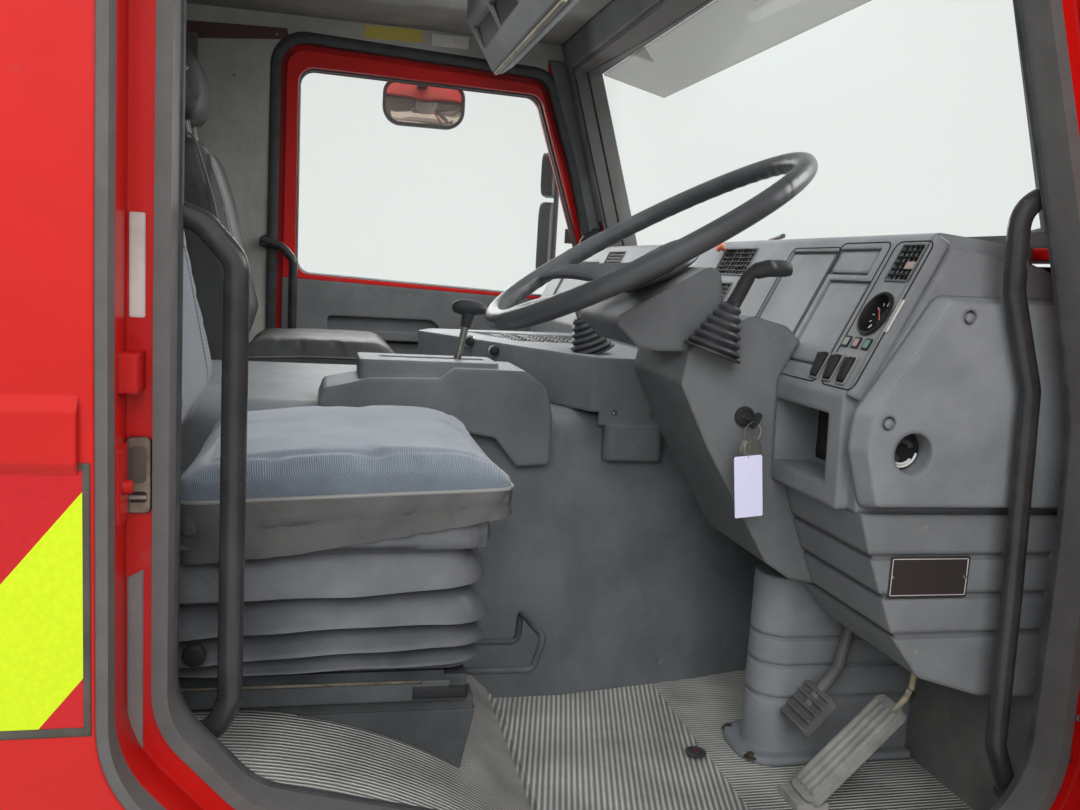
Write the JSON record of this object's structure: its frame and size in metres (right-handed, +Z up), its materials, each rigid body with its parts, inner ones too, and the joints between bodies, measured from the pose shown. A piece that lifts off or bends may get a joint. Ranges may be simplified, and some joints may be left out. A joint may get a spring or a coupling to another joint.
{
  "type": "fire engine cab",
  "caption": "Right-hand-drive fire engine day cab with opening doors, suspension driver's seat, dashboard, engine cover, steering wheel and blue beacon bar.",
  "frame": {"origin": "centre of the four mounting pads, on their underside", "axes": "+X towards the front of the cab, +Y towards the passenger's side, +Z up"},
  "size_m": [1.7211, 3.5609, 1.93],
  "materials": {
    "red_paint": "gloss",
    "chassis_black": "satin",
    "floor_paint": "satin",
    "quilted_lining": "matt",
    "roof_lining": "matt",
    "ribbed_mat": "matt",
    "seal_rubber": "matt",
    "bellows_rubber": "satin",
    "dark_plastic": "textured",
    "dash_plastic": "textured",
    "grey_plastic": "textured",
    "black_plastic": "satin",
    "worn_black": "worn satin",
    "steel": "worn",
    "clear_glass": "clear",
    "smoked_acrylic": "smoked",
    "blue_lens": "gloss",
    "lamp_lens": "gloss",
    "seat_fabric": "ribbed",
    "charcoal_fabric": "woven",
    "seat_frame": "satin"
  },
  "bodies": {
    "cab": {"subframe": "chassis_black", "floor_pan": "floor_paint", "engine_cover": "grey_plastic", "floor_mats": "ribbed_mat", "rear_wall": "red_paint", "wall_lining": "quilted_lining", "roof_panel": "red_paint", "roof_lining": "roof_lining", "side_frame_right": "red_paint", "side_frame_left": "red_paint", "seals_right": "seal_rubber", "seals_left": "seal_rubber", "front_panel": "red_paint", "grille": "black_plastic", "headlamps": "lamp_lens", "windscreen": "clear_glass", "windscreen_frame": "red_paint", "windscreen_seal": "seal_rubber", "sun_visor": "smoked_acrylic", "pillar_trim": "grey_plastic", "dashboard": "dash_plastic", "dash_end_covers": "dash_plastic", "lower_panels": "dash_plastic", "centre_console": "grey_plastic", "column_cowl": "dark_plastic", "column_boot": "dark_plastic", "column_lever": "seal_rubber", "console_lever": "seal_rubber", "gear_console": "grey_plastic", "gear_selector": "black_plastic", "brake_pedal": "seal_rubber", "accelerator_pedal": "seal_rubber", "overhead_console": "dark_plastic", "driver_seat_base": "seat_frame", "driver_seat_bellows": "bellows_rubber", "driver_seat_cushion": "seat_fabric", "driver_seat_backrest": "seat_fabric", "passenger_seat_base": "seat_frame", "passenger_seat_cushion": "charcoal_fabric", "passenger_seat_backrest": "charcoal_fabric", "grab_handles_right": "worn_black", "grab_handles_left": "worn_black", "steps": "black_plastic", "beacon_bar": "blue_lens", "wipers": "black_plastic"},
    "steering": {"steering_wheel": "black_plastic"},
    "door_right": {"door_right_shell": "red_paint", "door_right_glass": "clear_glass", "door_right_trim": "dark_plastic", "door_right_mirrors": "black_plastic"},
    "door_left": {"door_left_shell": "red_paint", "door_left_glass": "clear_glass", "door_left_trim": "dark_plastic", "door_left_mirrors": "black_plastic"}
  },
  "joints": [
    {"name": "door_right_hinge", "type": "hinge", "parent": "cab", "child": "door_right", "pos_m": [0.636, -1.114, 0.6], "axis": [0, 0, 1], "range_deg": [-85, 0]},
    {"name": "door_left_hinge", "type": "hinge", "parent": "cab", "child": "door_left", "pos_m": [0.636, 1.114, 0.6], "axis": [0, 0, -1], "range_deg": [0, 85]},
    {"name": "steering_turn", "type": "hinge", "parent": "cab", "child": "steering", "pos_m": [0.175, -0.621, 0.933], "axis": [-0.512, 0, 0.859], "range_deg": [-720, 720]}
  ]
}
